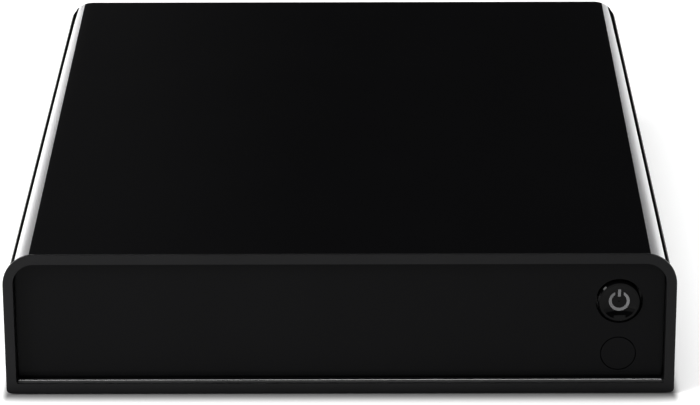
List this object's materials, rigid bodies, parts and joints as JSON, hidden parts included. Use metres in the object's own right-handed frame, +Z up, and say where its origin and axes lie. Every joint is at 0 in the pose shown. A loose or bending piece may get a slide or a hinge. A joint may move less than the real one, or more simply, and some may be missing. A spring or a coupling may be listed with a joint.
{
  "type": "media player with hard drive tray",
  "caption": "Flat black media player for a shelf, with a drive tray that slides out of its right side on a swinging lever, a front power button and rear sockets.",
  "frame": {"origin": "middle of the bounding box in X and Y, on the plane that the feet stand on", "axes": "+X to the right for someone facing the front, +Y from the front to the sockets at the back, +Z up"},
  "size_m": [0.2, 0.264, 0.0449],
  "materials": {
    "frame_black": "satin",
    "strip_bright": "polished",
    "panel_black": "satin",
    "button_gloss": "gloss",
    "symbol_grey": "matte",
    "plastic_black": "fine grain",
    "plastic_grey": "fine grain",
    "board_green": "solder mask",
    "switch_steel": "plated",
    "receiver_black": "moulded",
    "led_clear": "clear",
    "cover_gloss": "piano gloss",
    "trim_bright": "polished",
    "wall_black": "satin",
    "foot_rubber": "matte",
    "screw_black": "blackened",
    "screw_steel": "zinc",
    "cage_steel": "galvanised",
    "case_cast": "cast",
    "lid_steel": "brushed",
    "disc_mirror": "polished",
    "arm_metal": "machined",
    "can_metal": "sleeved",
    "nickel": "nickel plate",
    "ring_yellow": "moulded",
    "ring_white": "moulded",
    "ring_red": "moulded",
    "cable_grey": "sleeved"
  },
  "bodies": {
    "chassis": {"av_barrels": "nickel", "av_block": "receiver_black", "av_ring_red": "ring_red", "av_ring_white": "ring_white", "av_ring_yellow": "ring_yellow", "bay_board": "board_green", "bay_connector": "receiver_black", "board_screws": "screw_steel", "board_standoffs": "screw_steel", "bottom_plate": "wall_black", "bottom_screws": "screw_black", "button_guide": "plastic_black", "capacitors": "can_metal", "data_cable": "cable_grey", "drive_cage": "cage_steel", "edge_trim_left": "trim_bright", "edge_trim_right": "trim_bright", "fan_frame": "plastic_black", "front_board": "board_green", "front_board_posts": "plastic_black", "front_cable": "cable_grey", "front_frame": "frame_black", "front_panel": "panel_black", "hdmi_socket": "switch_steel", "heat_sink": "arm_metal", "ir_receiver": "receiver_black", "ir_window": "panel_black", "lan_socket": "switch_steel", "main_board": "board_green", "main_chip": "receiver_black", "memory_chips": "receiver_black", "optical_socket": "receiver_black", "power_pin": "nickel", "power_socket": "receiver_black", "rear_panel": "plastic_black", "rear_screws": "screw_black", "rubber_feet": "foot_rubber", "side_wall_left": "wall_black", "side_wall_right": "wall_black", "sill_strip": "strip_bright", "status_led": "led_clear", "tact_switch": "switch_steel", "top_cover": "cover_gloss", "usb_socket": "switch_steel"},
    "tray": {"drive_tray": "plastic_grey", "tray_face": "plastic_black", "lever_pin": "screw_steel", "drive_screws": "screw_steel", "drive_case": "case_cast", "drive_lid": "lid_steel", "drive_circuit": "board_green", "lid_screws": "screw_steel"},
    "platters": {"platter_stack": "disc_mirror"},
    "arm": {"head_arm": "arm_metal"},
    "lever": {"tray_lever": "plastic_black"},
    "button": {"power_button": "button_gloss", "power_symbol": "symbol_grey", "switch_plunger": "plastic_black"},
    "fan": {"fan_rotor": "plastic_black"}
  },
  "joints": [
    {"name": "tray_slide", "type": "slide", "parent": "chassis", "child": "tray", "axis": [1, 0, 0], "range_m": [0, 0.15]},
    {"name": "lever_swing", "type": "hinge", "parent": "tray", "child": "lever", "pos_m": [0.09695, -0.035, 0.0196], "axis": [0, 0, 1], "range_deg": [0, 75]},
    {"name": "power_press", "type": "slide", "parent": "chassis", "child": "button", "axis": [0, 1, 0], "range_m": [0, 0.0005], "stiffness_N_per_m": 2000, "springref_m": -0.0002},
    {"name": "fan_spin", "type": "hinge", "parent": "chassis", "child": "fan", "pos_m": [-0.07, 0.1184, 0.02535], "axis": [0, 1, 0], "continuous": true},
    {"name": "platter_spin", "type": "hinge", "parent": "tray", "child": "platters", "pos_m": [0.04165, -0.053, 0.0144], "axis": [0, 0, 1], "continuous": true},
    {"name": "head_arm_swing", "type": "hinge", "parent": "tray", "child": "arm", "pos_m": [-0.01635, -0.075, 0.0144], "axis": [0, 0, 1], "range_deg": [-33, 0]}
  ]
}
